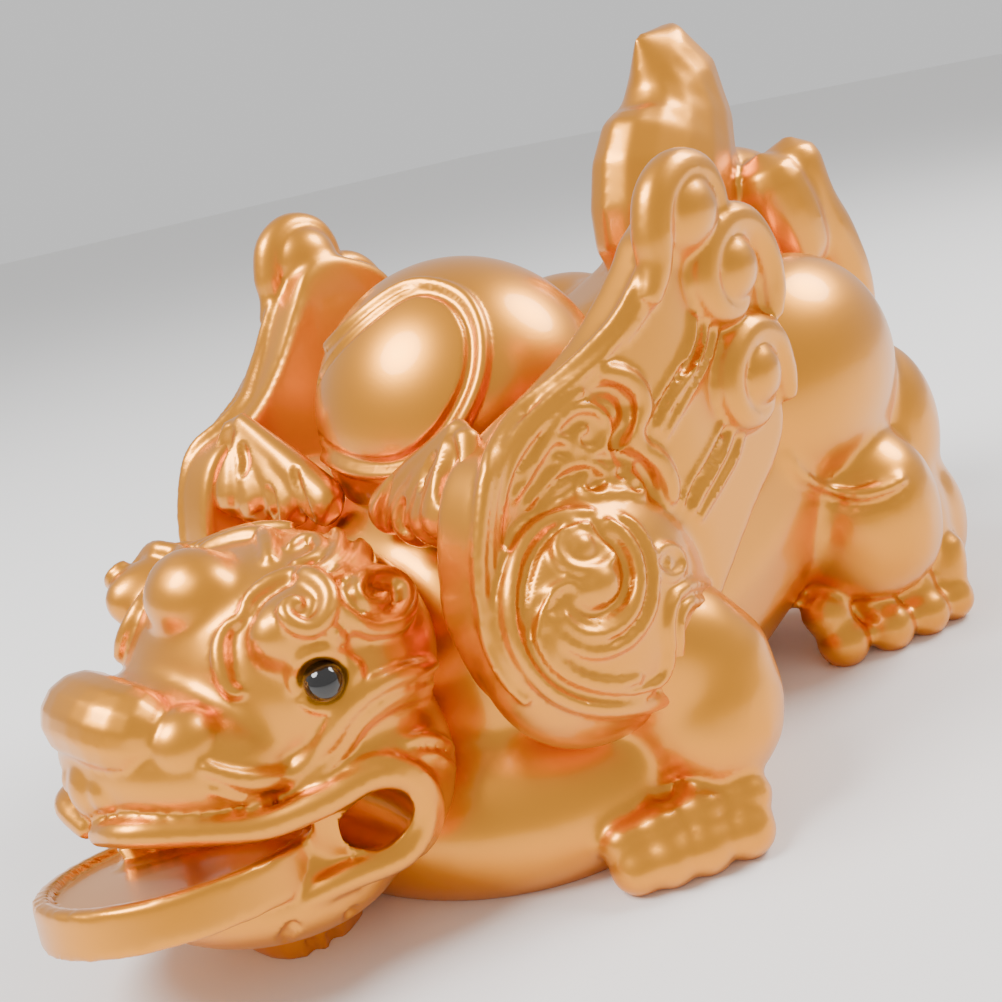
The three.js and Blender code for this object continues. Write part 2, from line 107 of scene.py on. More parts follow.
# %% Camera
AZIMUTH, ELEVATION, ROLL = (math.radians(a) for a in (47.0, 16.7, -12.0))
TARGET = Vector((-0.8, 3.0, 34.5))
DISTANCE = 164
FOCAL_PIXELS = 1230
IMAGE = 1002
towards = Vector((math.sin(AZIMUTH) * math.cos(ELEVATION), -math.cos(AZIMUTH) * math.cos(ELEVATION), math.sin(ELEVATION)))
level = Vector((math.cos(AZIMUTH), math.sin(AZIMUTH), 0))
upright = towards.cross(level)
right = math.cos(ROLL) * level + math.sin(ROLL) * upright
up = -math.sin(ROLL) * level + math.cos(ROLL) * upright
eye_point = TARGET + towards * DISTANCE

camera_data = bpy.data.cameras.new("camera")
camera_data.sensor_width = 36
camera_data.lens = FOCAL_PIXELS * 36 / IMAGE
camera_data.clip_start = 0.01
camera = bpy.data.objects.new("camera", camera_data)
bpy.context.scene.collection.objects.link(camera)
turn = Matrix((right, up, towards)).transposed().to_4x4()
camera.matrix_world = Matrix.Translation(TO_METRES @ eye_point) @ turn
bpy.context.scene.camera = camera
print("camera at", [round(v, 1) for v in eye_point], "lens", round(camera_data.lens, 1))


def drawn(*numbers):
    """A drawn line: pixel x, y, x, y, ... in the 1002 x 1002 frame of the photograph."""
    return list(zip(numbers[::2], numbers[1::2]))


def ray_through(px, py):
    middle = IMAGE / 2
    return (right * (px - middle) / FOCAL_PIXELS + up * (middle - py) / FOCAL_PIXELS - towards).normalized()


# %% [markdown]
# ## Clay: lumps and ropes that melt together
# A casting has no straight edges: everywhere one form runs into the next. So each piece starts
# as a heap of closed lumps and ropes that overlap. A voxel remesh turns the heap into one skin, and
# smoothing rounds the creases as lacquer does.

# %% Curves through a few points
def smooth_path(points, steps):
    """Points evenly spaced on a smooth curve through a few given points."""
    given = np.asarray(points, float)
    if len(given) == 2:
        given = np.vstack([given[0], given.mean(0), given[1]])
    ends = np.vstack([2 * given[0] - given[1], given, 2 * given[-1] - given[-2]])
    dense = []
    for a, b, c, d in zip(ends, ends[1:], ends[2:], ends[3:]):
        t = np.linspace(0, 1, 16, endpoint=False)[:, None]
        dense.append(0.5 * (2 * b + (c - a) * t + (2 * a - 5 * b + 4 * c - d) * t**2 + (3 * b - a - 3 * c + d) * t**3))
    dense = np.vstack([*dense, given[-1:]])
    way = np.concatenate([[0], np.cumsum(np.linalg.norm(np.diff(dense, axis=0), axis=1))])
    even = np.linspace(0, way[-1], steps)
    return np.column_stack([np.interp(even, way, dense[:, k]) for k in range(dense.shape[1])]), way[-1]


def along(values, steps):
    return np.interp(np.linspace(0, 1, steps), np.linspace(0, 1, len(values)), values)


def flip(side, point):
    return (side * point[0], *point[1:])


# %% [markdown]
# A heap of clay collects lumps, ropes and finished skins. `melt` gives it one closed skin.

# %% A heap of clay
class Clay:
    """Closed forms in one bmesh. A form with x away from the middle can be given on both sides."""

    def __init__(self):
        self.bm = bmesh.new()

    def lump(self, centre, radii, turn=(0, 0, 0), both=False, sides=40):
        for side in (1, -1) if both else (1,):
            tilt = Euler([math.radians(a) for a in (turn[0], side * turn[1], side * turn[2])]).to_matrix().to_4x4()
            place = Matrix.Translation(flip(side, centre)) @ tilt @ Matrix.Diagonal((*radii, 1))
            bmesh.ops.create_uvsphere(self.bm, u_segments=sides, v_segments=sides // 2, radius=1, matrix=place)
        return self

    def rope(self, points, radii, flat=None, both=False, ends=(True, True), around=3):
        """A bar along a curve with round ends. `flat` is (direction, share) for an oval section."""
        for side in (1, -1) if both else (1,):
            path = [flip(side, p) for p in points]
            widest = max(radii)
            _, length = smooth_path(path, 8)
            steps = int(min(90, max(10, length / max(0.3 * widest, 0.35))))
            place, length = smooth_path(path, steps)
            radius = along(radii, steps)
            way = np.linspace(0, length, steps)
            for is_round, reach, near in zip(ends, (way, way[::-1]), (radii[0], radii[-1])):
                if is_round:
                    share = np.clip(reach / max(near, 0.01), 0, 1)
                    radius = radius * np.sqrt(np.clip(1 - (1 - share) ** 2, 0.0004, 1))
            squash = Matrix.Identity(3)
            if flat:
                squash = Matrix.Scale(flat[1], 3, Vector(flip(side, flat[0])).normalized())
                place = place @ np.array(squash.inverted()).T
            curve = bpy.data.curves.new("rope", "CURVE")
            curve.dimensions = "3D"
            curve.bevel_depth = 1
            curve.bevel_resolution = around
            curve.use_fill_caps = True
            spline = curve.splines.new("POLY")
            spline.points.add(steps - 1)
            spline.points.foreach_set("co", np.column_stack([place, np.ones(steps)]).ravel())
            spline.points.foreach_set("radius", radius)
            holder = bpy.data.objects.new("rope", curve)
            mesh = bpy.data.meshes.new_from_object(holder)
            mesh.transform(squash.to_4x4())
            self.bm.from_mesh(mesh)
            bpy.data.objects.remove(holder)
            bpy.data.curves.remove(curve)
            bpy.data.meshes.remove(mesh)
        return self

    def add(self, mesh, both=False):
        self.bm.from_mesh(mesh)
        if both:
            mirrored = mesh.copy()
            mirrored.transform(Matrix.Scale(-1, 4, (1, 0, 0)))
            mirrored.flip_normals()
            self.bm.from_mesh(mirrored)
        return self

    def melt(self, voxel, smooth=4, factor=0.5):
        """One closed skin round the heap, as a mesh."""
        mesh = bpy.data.meshes.new("clay")
        self.bm.to_mesh(mesh)
        self.bm.free()
        holder = bpy.data.objects.new("clay", mesh)
        bpy.context.scene.collection.objects.link(holder)
        remesh = holder.modifiers.new("skin", "REMESH")
        remesh.mode = "VOXEL"
        remesh.voxel_size = voxel * COARSER
        remesh.use_smooth_shade = True
        if smooth:
            soften = holder.modifiers.new("soften", "SMOOTH")
            soften.factor = factor
            soften.iterations = max(1, round(smooth / COARSER**2))
        skin = bpy.data.meshes.new_from_object(holder.evaluated_get(bpy.context.evaluated_depsgraph_get()))
        bpy.data.objects.remove(holder)
        bpy.data.meshes.remove(mesh)
        return skin


def cut(mesh, clay):
    """The mesh with a heap of clay taken out of it."""
    tool_mesh = clay.melt(0.7, 0)
    holders = [bpy.data.objects.new(name, data) for name, data in (("from", mesh), ("tool", tool_mesh))]
    for holder in holders:
        bpy.context.scene.collection.objects.link(holder)
    hollow = holders[0].modifiers.new("hollow", "BOOLEAN")
    hollow.operation = "DIFFERENCE"
    hollow.solver = "EXACT"
    hollow.object = holders[1]
    result = bpy.data.meshes.new_from_object(holders[0].evaluated_get(bpy.context.evaluated_depsgraph_get()))
    for holder in holders:
        bpy.data.objects.remove(holder)
    bpy.data.meshes.remove(mesh)
    bpy.data.meshes.remove(tool_mesh)
    return result


# %% [markdown]
# ## Carving
# Fine relief is pushed in or out of the skin. A stroke is a curve: every point of the skin near
# it moves along its own normal, most on the curve and not at all at its edge.

# %% A skin that can be carved
LEAP = 3.0


class Skin:
    def __init__(self, mesh):
        self.mesh = mesh
        count = len(mesh.vertices)
        self.place = np.empty(count * 3, np.float32)
        mesh.vertices.foreach_get("co", self.place)
        self.place = self.place.reshape(-1, 3).astype(float)
        self.refresh()

    def refresh(self):
        """Moves the vertices, and looks again at where the skin is and which way it faces."""
        self.mesh.vertices.foreach_set("co", self.place.astype(np.float32).ravel())
        self.mesh.update()
        self.out = np.empty(len(self.place) * 3, np.float32)
        self.mesh.vertex_normals.foreach_get("vector", self.out)
        self.out = self.out.reshape(-1, 3).astype(float)
        self.lift = np.zeros(len(self.place))
        bm = bmesh.new()
        bm.from_mesh(self.mesh)
        self.tree = BVHTree.FromBMesh(bm)
        bm.free()

    def settle(self):
        self.place += self.out * self.lift[:, None]
        self.refresh()

    def seen(self, pixels, lift=0.0, spacing=3.0):
        """The path on the skin under a drawn line, `lift` above the skin. It stops where the skin
        falls away by more than a leap, and keeps the longest stretch."""
        _, length = smooth_path(pixels, 8)
        line, _ = smooth_path(pixels, int(max(6, length / spacing)))
        found = []
        for px, py in line:
            hit, normal, _, _ = self.tree.ray_cast(eye_point, ray_through(px, py))
            if hit is not None:
                found.append(hit + normal * lift)
        runs = [[]]
        for spot in found:
            if runs[-1] and (spot - runs[-1][-1]).length > LEAP:
                runs.append([])
            runs[-1].append(spot)
        found = max(runs, key=len)
        return np.array([tuple(p) for p in found])

    def push(self, path, width, height, shape=1.0, taper=0.25, both=True):
        """Raises the skin along a path by `height`, or sinks it if that is negative."""
        path = np.asarray(path, float)
        if len(path) < 2:
            return self
        for side in (1, -1) if both else (1,):
            line = path * (side, 1, 1)
            near = np.where(((self.place > line.min(0) - width) & (self.place < line.max(0) + width)).all(1))[0]
            if not len(near):
                continue
            spot = self.place[near]
            best = np.full(len(near), np.inf)
            share = np.zeros(len(near))
            total = len(line) - 1
            for i, (a, b) in enumerate(zip(line, line[1:])):
                ab = b - a
                t = np.clip(((spot - a) @ ab) / max(ab @ ab, 1e-9), 0, 1)
                away = np.linalg.norm(spot - a - t[:, None] * ab, axis=1)
                closer = away < best
                best[closer] = away[closer]
                share[closer] = (i + t[closer]) / total
            fade = np.clip(np.minimum(share, 1 - share) / max(taper, 1e-6), 0, 1) ** 0.5
            reach = width * (0.45 + 0.55 * fade)
            shape_of = np.clip(1 - (best / reach) ** 2, 0, 1) ** shape
            self.lift[near] += height * fade * shape_of
        return self

    def dent(self, centre, radius, height, shape=1.0, both=True):
        for side in (1, -1) if both else (1,):
            away = np.linalg.norm(self.place - np.array(flip(side, centre)), axis=1)
            self.lift += height * np.clip(1 - (away / radius) ** 2, 0, 1) ** shape
        return self


print("clay and carving tools are ready")

# %% [markdown]
# ## The body
# The belly lies flat on the ground. The spine runs from behind the head to the rump as one fat
# bar; thighs, legs and the root of the tail are lumps on it. This first heap is melted coarsely and
# smoothed a lot, because the real body flows from one form into the next.

# %% Body masses
TORSO = ([(0, -34, 21), (0, -20, 20), (0, 5, 19), (0, 26, 25), (0, 43, 32), (0, 66, 31)], [15, 27, 28, 28.5, 29, 17])
mass = Clay()
mass.rope(*TORSO, flat=((0, 0, 1), 0.96), around=8)
mass.lump((0, -10, 7), (33, 29, 16))
mass.lump((20, 42, 40), (13.5, 20, 17.5), both=True)
mass.rope([(25, 40, 30), (27.6, 44.6, 20), (28, 43.6, 6)], [12.6, 11.2, 10], both=True, around=6)
mass.lump((26, 55, 13), (8.8, 8.8, 13), both=True)
mass.lump((22, 60, 26), (10, 11, 15), both=True)
mass.lump((25.6, 62, 11), (8.6, 9, 12), both=True)
mass.rope([(24, -16, 27), (31, -4, 20), (33.4, -5, 12), (33, -7, 5)], [10.4, 9.4, 9.6, 8.4], both=True, around=6)
mass.rope([(0, 36, 52), (0, 49, 54), (0, 60, 56)], [11, 12, 11], around=6)
mass.rope([(0, 58, 70), (0, 64, 60), (0, 66, 44)], [8, 12, 13], around=6)
body_mass = Skin(mass.melt(0.9, 14))
print("body masses:", len(body_mass.place), "vertices")

# %% [markdown]
# The tail stands up as a flame with a long lock of hair down each side of its back. Each paw has
# four plump toes side by side: an upper lump, a slight waist and a pad. The crease that crosses
# each real toe at the knuckle isn't made.

# %% Tail and toes
FLAME = ([(0, 46, 50), (0, 47, 60), (0, 49.4, 70), (0, 53, 77), (0, 52.4, 84.5), (0, 47, 89.6)], [13, 14.5, 15, 13, 9.4, 3])
LOCK = ([(10.6, 66, 71.4), (10.6, 66.4, 66), (10.4, 68.4, 60), (10.6, 73, 52), (10.8, 76, 43), (11, 73, 33)],
        [4.4, 5.2, 5.8, 5.8, 5.2, 4.6])
FRONT_TOES = [((38.4, -6.2, 7.8), (39.7, -9.0, 2.9), 3.6), ((35.4, -10.9, 7.8), (37.4, -13.5, 2.9), 3.6),
              ((32.6, -16, 7.4), (35.3, -17.2, 2.9), 3.5), ((30.4, -19.6, 6.8), (33.2, -20, 2.7), 3.2)]
HIND_TOES = [((24.2, 36, 9.4), (27.4, 36.2, 2.9), 3.7), ((25, 44.5, 10.3), (31.0, 42.8, 2.9), 3.7),
             ((29, 51, 11), (33.4, 48.9, 2.9), 3.7), ((33, 56.5, 11.4), (34.8, 54.4, 2.9), 3.5)]
body = Clay().add(body_mass.mesh)
body.rope(*FLAME, flat=((1, 0, 0), 0.58), around=6)
body.rope(*LOCK, both=True, around=5)
body.rope([(9, 60, 70), (9.6, 62, 62), (10, 66, 50)], [5, 6.5, 6], both=True, around=5)
for knuckle, pad, size in FRONT_TOES + HIND_TOES:
    top, low = Vector(knuckle), Vector(pad)
    lean = top - low
    body.rope([top + lean * 0.15, top, top - lean * 0.3, low + lean * 0.3, low],
              [size * 0.9, size, size * 0.98, size * 0.88, size], both=True, around=5)
    body.lump(low, (size * 1.02, size * 1.02, size), both=True, sides=24)


def draw(clay, skin, line, radii, lift=0.0, both=True, **how):
    """A rope laid along a drawn line on a skin. A line that misses the skin is left out."""
    found = skin.seen(line, lift)
    if len(found) >= 3:
        clay.rope(found, radii, both=both, **how)


# %% [markdown]
# A ridge runs along the front of the haunch with a groove on either side. The ridge is a line
# drawn on the skin and laid there as a rope; the grooves are pushed in after the last melt.

# %% Haunch ridge
draw(body, body_mass, drawn(784, 452, 800, 472, 830, 488, 860, 494, 885, 489, 905, 477), [0.5, 1.1, 1.2, 1.1, 0.6], 0.2)
body_skin = Skin(body.melt(0.67, 4))
for line, width, height in (
        (drawn(800, 462, 822, 478, 850, 484, 875, 480), 0.9, -0.5),
        (drawn(796, 484, 830, 499, 860, 505, 890, 498, 912, 484), 1.0, -0.5),
):
    body_skin.push(body_skin.seen(line), width, height)
body_skin.settle()
print("body:", len(body_skin.place), "vertices")

# %% [markdown]
# ## Wings and shoulders
# Each wing is one upright plate that flares outwards. Three tips curl up along its back edge like
# rolled dough. In front it grows out of a round shoulder. The outline is drawn from the side as
# y, z and the plate is bent afterwards, so that its face follows the flare.

# %% Wing plates
WING_OUTLINE = [(-8, 17), (-24.3, 22.2), (-29.4, 33), (-29, 40), (-27.2, 46), (-24.4, 49.6), (-20, 51.6), (-13.4, 54.8), (-8, 58.4),
                (-4.4, 61.8), (-1.4, 65), (1.4, 68), (6, 69), (11, 67.4), (15, 65), (17.6, 61), (18.6, 56), (18.4, 50), (19.8, 43.6),
                (17.6, 38), (9.5, 32)]
PLATE = 6.4


def wing_face(y):
    share = np.clip((y + 22) / 24, 0, 1)
    return float(27.6 + 6.6 * share * share * (3 - 2 * share))


def side_plate(outline, thickness):
    """A plate with an outline drawn from the side, bent to the flare of the wing."""
    plate = Clay()
    rim, _ = smooth_path([*outline, outline[0]], 140)
    face = plate.bm.faces.new([plate.bm.verts.new((0, y, z)) for y, z in rim[:-1]])
    extruded = bmesh.ops.extrude_face_region(plate.bm, geom=[face])
    moved = [v for v in extruded["geom"] if isinstance(v, bmesh.types.BMVert)]
    bmesh.ops.translate(plate.bm, verts=moved, vec=(-thickness, 0, 0))
    bmesh.ops.recalc_face_normals(plate.bm, faces=plate.bm.faces)
    mesh = plate.melt(0.6, 8)
    for vertex in mesh.vertices:
        vertex.co.x += wing_face(vertex.co.y)
    return mesh


TIPS = {
    "upper": ([(-3.6, 60.6), (-1.4, 64.4), (-0.8, 68), (0.8, 71.6), (4.4, 73.4), (8.4, 72.4), (10.2, 69), (9.2, 65.8), (6.2, 65), (4.2, 67.2), (5.4, 69.4)],
              [1.2, 1.8, 2.3, 2.4, 2.4, 2.3, 2.1, 1.9, 1.6, 1.3, 1.0], (33.2, 4.8, 69), (4.4, 5.2, 4.8)),
    "middle": ([(18.4, 53.6), (19, 58.3), (17.8, 62.6), (15, 65.8), (11, 66.6), (7.4, 64.8), (6, 61.4), (7.2, 58.4), (10.4, 57.2), (13, 59), (12.8, 61.8), (10.8, 62.4)],
               [1.2, 1.8, 2.0, 2.1, 2.2, 2.2, 2.2, 2.1, 2.0, 1.7, 1.3, 1.0], (33.6, 10.6, 61.6), (4.4, 4.6, 4.6)),
    "lower": ([(19.4, 43.6), (18.8, 48), (16.8, 52.2), (12.8, 53.8), (9, 52), (7.6, 48.6), (9, 45.4), (12.4, 44.4), (14.8, 46.4), (14.8, 49.2), (12.6, 50)],
              [1.2, 1.8, 2.1, 2.2, 2.2, 2.2, 2.1, 2.0, 1.7, 1.3, 1.0], (33.6, 12.4, 49), (4.4, 4.6, 4.6)),
}
mass = Clay()
mass.add(side_plate(WING_OUTLINE, PLATE), both=True)
mass.lump((27.6, -13.4, 29.6), (9.6, 16.2, 14.8), both=True)
for roll, radii, middle, size in TIPS.values():
    mass.lump(middle, size, both=True)
wing_mass = Skin(mass.melt(0.6, 6))
print("wing masses:", len(wing_mass.place), "vertices")

# %% [markdown]
# The face of the wing is worked in low relief: a rim of three strands, a raised border round a
# bed of small curls, and two groups of ridges that part the flight feathers. The strands are drawn
# in the photograph's frame, found on the skin, and laid there as ropes.

# %% Rim, border and curls
wings = Clay().add(wing_mass.mesh)
for roll, radii, middle, size in TIPS.values():
    wings.rope([(middle[0] + 1.0, y, z) for y, z in roll], radii, both=True, around=4)
for line, radii, lift in (
        (drawn(643, 266, 634, 290, 616, 322, 590, 352, 560, 380, 522, 411, 497, 445, 485, 480, 480, 520, 478, 560, 481, 600, 489, 640, 505, 675, 531, 703),
         [0.7, 0.9, 0.9, 0.8, 0.7], 0.3),
        (drawn(653, 268, 646, 290, 630, 320, 607, 350, 577, 379, 547, 404, 518, 434, 500, 464, 491, 500, 488, 540, 489, 580, 494, 620, 505, 655, 524, 684),
         [0.5, 0.6, 0.6, 0.55, 0.5], 0.25),
        (drawn(662, 272, 655, 290, 641, 316, 622, 342), [0.5, 0.5, 0.4], 0.2),
        (drawn(584, 389, 556, 409, 531, 434, 512, 462, 501, 495, 496, 535, 497, 575, 501, 610), [0.4, 0.55, 0.55, 0.5, 0.4], 0.2),
        (drawn(596, 372, 614, 374, 632, 384, 641, 405, 633, 430, 640, 449, 657, 461, 668, 482, 670, 506), [1.0, 1.25, 1.3, 1.3, 1.2, 1.2, 1.3, 1.3, 1.0], 0.1),
        # curls in the bed
        (drawn(516, 478, 538, 452, 556, 424, 574, 409, 594, 409, 606, 424, 603, 444, 588, 452, 576, 444, 578, 431, 588, 430), [0.3, 0.45, 0.55, 0.55, 0.5, 0.45, 0.4], 0.25),
        (drawn(512, 500, 528, 474, 541, 452, 553, 439, 566, 441, 571, 453, 562, 461, 553, 455), [0.3, 0.4, 0.5, 0.5, 0.45, 0.4], 0.25),
        (drawn(524, 508, 542, 486, 560, 468, 580, 461, 600, 468, 608, 484, 598, 497, 584, 493, 580, 481, 590, 476), [0.3, 0.45, 0.55, 0.55, 0.5, 0.4], 0.25),
        (drawn(540, 509, 554, 491, 570, 480), [0.3, 0.45, 0.35], 0.2),
        (drawn(604, 453, 617, 450, 630, 459, 633, 474, 624, 484, 612, 480, 609, 469, 618, 464), [0.4, 0.5, 0.5, 0.45, 0.4], 0.25),
        (drawn(604, 497, 622, 494, 641, 497, 640, 484, 636, 476), [0.4, 0.5, 0.5, 0.4], 0.2),
        # two pairs of ridges between the flight feathers
        (drawn(692, 314, 690, 340, 678, 370, 662, 396, 653, 412), [0.5, 0.6, 0.6, 0.4], 0.2),
        (drawn(705, 318, 701, 345, 689, 373, 671, 401, 655, 432), [0.4, 0.5, 0.5, 0.4], 0.2),
        (drawn(716, 322, 710, 350, 697, 378, 680, 408, 663, 438), [0.4, 0.5, 0.5, 0.4], 0.2),
        (drawn(722, 424, 712, 450, 696, 478, 682, 506), [0.5, 0.6, 0.6, 0.4], 0.2),
        (drawn(733, 424, 724, 450, 708, 480, 690, 514), [0.4, 0.5, 0.5, 0.4], 0.2),
        (drawn(743, 426, 736, 452, 720, 482, 698, 520), [0.4, 0.5, 0.5, 0.4], 0.2),
):
    draw(wings, wing_mass, line, radii, lift)

# %% [markdown]
# The shoulder is a whirl: two fat drops, one hooked into the other, with ridges running round them.

# %% Shoulder whirl
for px, py, size in ((583, 548, 2.0), (604, 585, 2.5)):
    spot = wing_mass.seen([(px, py), (px + 1, py)], -0.9)[0]
    wings.lump(spot, (size * 0.8, size, size), both=True, sides=24)
for line, radii, lift in (
        (drawn(598, 512, 566, 514, 537, 529, 519, 556, 512, 592, 516, 630, 531, 664, 556, 690, 590, 704, 628, 707, 664, 699, 694, 684), [0.5, 1.1, 1.5, 1.5, 1.4, 1.2, 0.9], -0.1),
        (drawn(592, 527, 575, 526, 561, 536, 557, 552, 566, 566, 584, 571, 603, 566, 616, 553), [0.4, 0.7, 0.8, 0.7, 0.6, 0.4], 0.2),
        (drawn(604, 520, 622, 534, 634, 556, 638, 584, 631, 611, 613, 629, 590, 635, 570, 626, 561, 610), [0.5, 0.8, 0.8, 0.7, 0.5], 0.2),
        (drawn(618, 514, 638, 530, 650, 556, 653, 588, 646, 617, 627, 641, 600, 652, 575, 647, 556, 632, 549, 614), [0.4, 0.6, 0.7, 0.7, 0.5], 0.2),
        (drawn(584, 603, 580, 590, 568, 583, 555, 589, 543, 604, 537, 628, 543, 655, 560, 677, 585, 690, 615, 694, 645, 689, 664, 674, 669, 650, 668, 622, 674, 598, 690, 585, 710, 584),
         [0.4, 0.7, 0.7, 0.7, 0.7, 0.7, 0.6, 0.4], 0.2),
        (drawn(561, 618, 553, 640, 562, 662, 584, 678, 614, 683, 642, 677), [0.4, 0.6, 0.6, 0.6, 0.4], 0.2),
        (drawn(680, 664, 679, 640, 680, 618, 688, 603, 703, 600), [0.4, 0.6, 0.6, 0.4], 0.2),
        (drawn(694, 662, 692, 640, 694, 622, 704, 614), [0.4, 0.6, 0.6, 0.4], 0.2),
        (drawn(653, 562, 660, 549, 673, 548, 682, 559, 681, 572, 670, 578, 658, 573, 653, 562), [0.45, 0.45], 0.15),
        (drawn(668, 560, 670, 566), [0.7, 0.7], -0.1),
):
    draw(wings, wing_mass, line, radii, lift)
wing_skin = Skin(wings.melt(0.41, 2))
for line, width, height in (
        (drawn(590, 392, 612, 392, 625, 405, 626, 424, 616, 440, 622, 455, 640, 468, 650, 486, 652, 502), 1.1, -0.9),
        (drawn(700, 318, 696, 348, 682, 374, 664, 402, 654, 418), 0.9, -0.9),
        (drawn(727, 426, 717, 452, 701, 480, 686, 508), 0.9, -0.9),
        (drawn(593, 520, 603, 534, 619, 549, 627, 575, 622, 598, 606, 612, 588, 613, 575, 603), 0.8, -0.7),
        (drawn(586, 518, 560, 526, 540, 543, 528, 568, 523, 600, 527, 634, 541, 664, 564, 686, 596, 698, 634, 699, 664, 688), 0.8, -0.8),
        (drawn(549, 590, 535, 610, 530, 640), 0.7, -0.6),
):
    wing_skin.push(wing_skin.seen(line), width, height)
wing_skin.settle()
print("wings:", len(wing_skin.place), "vertices")

# %% [markdown]
# ## The head
# The head is broad and flat-nosed. The skull, boss, cheeks and jaw are lumps that melt together.
# The mouth is cut out of them before the lips are laid round it.

# %% Head masses
mass = Clay()
mass.lump((0, -36, 30.6), (20, 16, 13.6))
mass.lump((0, -37, 18.5), (21.5, 14.5, 15.5))
mass.lump((0, -50, 27), (14.5, 12.5, 8), turn=(-12, 0, 0))
mass.rope([(0, -47.4, 36.2), (0, -44, 39.2), (0, -38, 41)], [6.4, 7.8, 8.4], around=6)
mass.lump((0, -45, 10.5), (17.5, 16, 8), turn=(-8, 0, 0))
mass.lump((14.4, -39.6, 38), (4.4, 8, 4.6), turn=(-10, 0, 0), both=True)
head_mass = mass.melt(0.7, 10)
mouth = Clay()
mouth.lump((0, -57, 19), (18, 19, 4.4))
mouth.lump((16, -41.4, 17.6), (9, 3.8, 3.6), both=True)
head_mass = Skin(cut(head_mass, mouth))
print("head masses:", len(head_mass.place), "vertices")

# %% [markdown]
# The nose is one thick roll with a round wing at each end, and a lump sits under its middle. The
# beard is a fat roll that rests on the ground under the jaw.

# %% Nose and beard
head = Clay().add(head_mass.mesh)
head.rope([(-8.2, -55, 31.4), (-4, -57.6, 33), (0, -58, 33.4), (4, -57.6, 33), (8.2, -55, 31.4)], [4.2, 4.6, 4.6, 4.6, 4.2], around=5)
head.lump((8.9, -54.2, 30.8), (3.7, 4.0, 3.7), both=True)
head.lump((0, -60, 27), (3.6, 3.2, 3.8))
head.lump((2.6, -60.4, 27.4), (2.4, 2.2, 2.4), both=True)
head.rope([(-9.6, -42.6, 3), (0, -43.4, 3), (9.6, -42.6, 3)], [6.8, 7.2, 6.8], around=6)

# %% [markdown]
# Two long folds run from the nose back over the cheek, and shorter ones curve round the corner of
# the mouth. They are ropes drawn on the head. The lips are one rope in real sizes, because they
# cross the gap of the mouth where there is no skin to draw on.

# %% Folds of the face
for line, radii, lift in (
        (drawn(198, 765, 232, 777, 268, 779, 302, 767, 327, 739, 343, 713, 366, 691, 395, 676, 425, 667, 446, 656, 455, 632), [0.6, 1.2, 1.4, 1.4, 1.3, 1.2, 0.8], 0.0),
        (drawn(208, 788, 245, 798, 285, 792, 318, 773, 342, 746, 358, 721, 380, 702, 408, 689, 440, 681), [0.5, 0.9, 1.1, 1.1, 0.9, 0.6], 0.0),
        (drawn(350, 747, 366, 724, 388, 707, 415, 696, 440, 692), [0.3, 0.5, 0.5, 0.3], 0.2),
        (drawn(344, 770, 378, 760, 410, 768, 430, 787, 437, 812, 429, 838, 408, 857, 380, 868), [0.5, 0.9, 1.0, 1.0, 0.9, 0.6], 0.0),
        (drawn(400, 742, 428, 738, 456, 752, 473, 778, 474, 805, 466, 832), [0.4, 0.8, 0.9, 0.8, 0.4], 0.0),
        (drawn(412, 755, 438, 757, 458, 774, 462, 800, 455, 824), [0.3, 0.5, 0.5, 0.3], 0.1),
):
    draw(head, head_mass, line, radii, lift)
head.rope([(0, -62.2, 22.6), (6, -61.6, 24), (10, -57.6, 23), (14, -52, 21.4), (17.4, -46.4, 21.8), (19.4, -41, 22.4),
           (20.6, -37.2, 20), (20.6, -36.8, 15.6), (19.6, -39.6, 12.6), (17.4, -45.6, 12.6), (13.4, -52, 11.6), (7, -57.6, 10.8), (0, -59.6, 10.6)],
          [1.3, 1.6, 1.6, 1.7, 1.5, 1.6, 1.5, 1.4, 1.4], both=True)

# %% [markdown]
# Four curls roll over each brow, and a lid runs round each eye. The lifts raise a curl clear of
# the skin, so that its turns stay apart when they melt.

